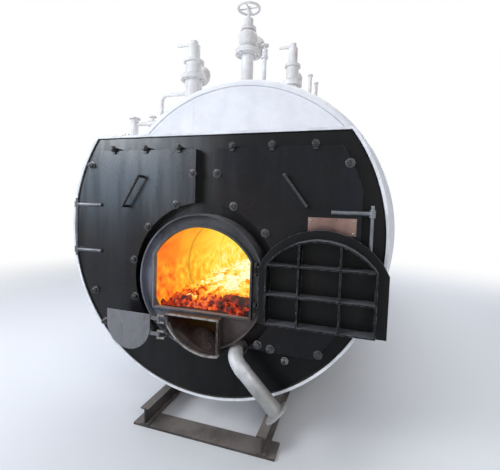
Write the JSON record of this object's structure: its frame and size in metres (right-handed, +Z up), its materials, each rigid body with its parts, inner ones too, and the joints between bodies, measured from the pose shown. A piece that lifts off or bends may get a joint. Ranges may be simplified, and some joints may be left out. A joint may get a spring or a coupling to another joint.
{
  "type": "wood-fired steam boiler",
  "caption": "Horizontal fire-tube steam boiler with a round smokebox front, two clamped smokebox doors, an arched fire mouth with a ribbed hinged door and a small ash door.",
  "frame": {"origin": "on the floor, on the underside of the front foot plate, below the middle of the smokebox front plate", "axes": "+Z up, +Y from the front towards the back along the drum, +X to the right seen from the front"},
  "size_m": [2.772, 5.47, 3.37],
  "materials": {
    "white_paint": "satin white paint",
    "black_paint": "gloss black heat-resisting paint",
    "grey_steel": "dusty grey steel",
    "bare_steel": "dull bare steel with dust",
    "rusty_steel": "heat-stained rusty steel"
  },
  "bodies": {
    "boiler": {"boiler_shell": "white_paint", "front_end_ring": "white_paint", "shell_bands": "white_paint", "front_tube_plate": "white_paint", "rear_tube_plate": "rusty_steel", "furnace_tube": "rusty_steel", "rear_smokebox": "white_paint", "rear_cover": "white_paint", "flue_outlet": "white_paint", "smokebox_wrapper": "white_paint", "smokebox_rim": "white_paint", "smokebox_front_plate": "black_paint", "smokebox_door_left": "black_paint", "smokebox_door_right": "black_paint", "door_hinges": "black_paint", "door_handles": "black_paint", "door_clamps": "grey_steel", "furnace_collar": "grey_steel", "furnace_mouth_plate": "grey_steel", "fire_door_frame": "grey_steel", "fire_hinge": "grey_steel", "ash_chute": "grey_steel", "ash_hinge": "bare_steel", "grate": "rusty_steel", "air_elbow": "bare_steel", "air_leg": "bare_steel", "skid_beams": "grey_steel", "foot_plates": "grey_steel", "saddles": "grey_steel", "steam_outlet": "white_paint", "steam_valve": "white_paint", "safety_valve_left": "white_paint", "safety_valve_right": "white_paint", "vent_pipes": "white_paint", "manhole": "white_paint", "feed_inlet": "white_paint", "blowdown": "grey_steel", "gauge_pipe": "white_paint", "gauge_column": "white_paint", "level_gauge": "bare_steel", "pressure_gauge": "bare_steel", "lifting_lugs": "white_paint"},
    "fire_door": {"fire_door": "black_paint"},
    "ash_door": {"ash_door": "bare_steel"}
  },
  "joints": [
    {"name": "fire_door_hinge", "type": "hinge", "parent": "boiler", "child": "fire_door", "pos_m": [0.38, -0.124, 1.092], "axis": [0, 0, -1], "range_deg": [0, 180]},
    {"name": "ash_door_hinge", "type": "hinge", "parent": "boiler", "child": "ash_door", "pos_m": [-0.248, -0.184, 0.8], "axis": [0, 0, 1], "range_deg": [0, 180]}
  ]
}
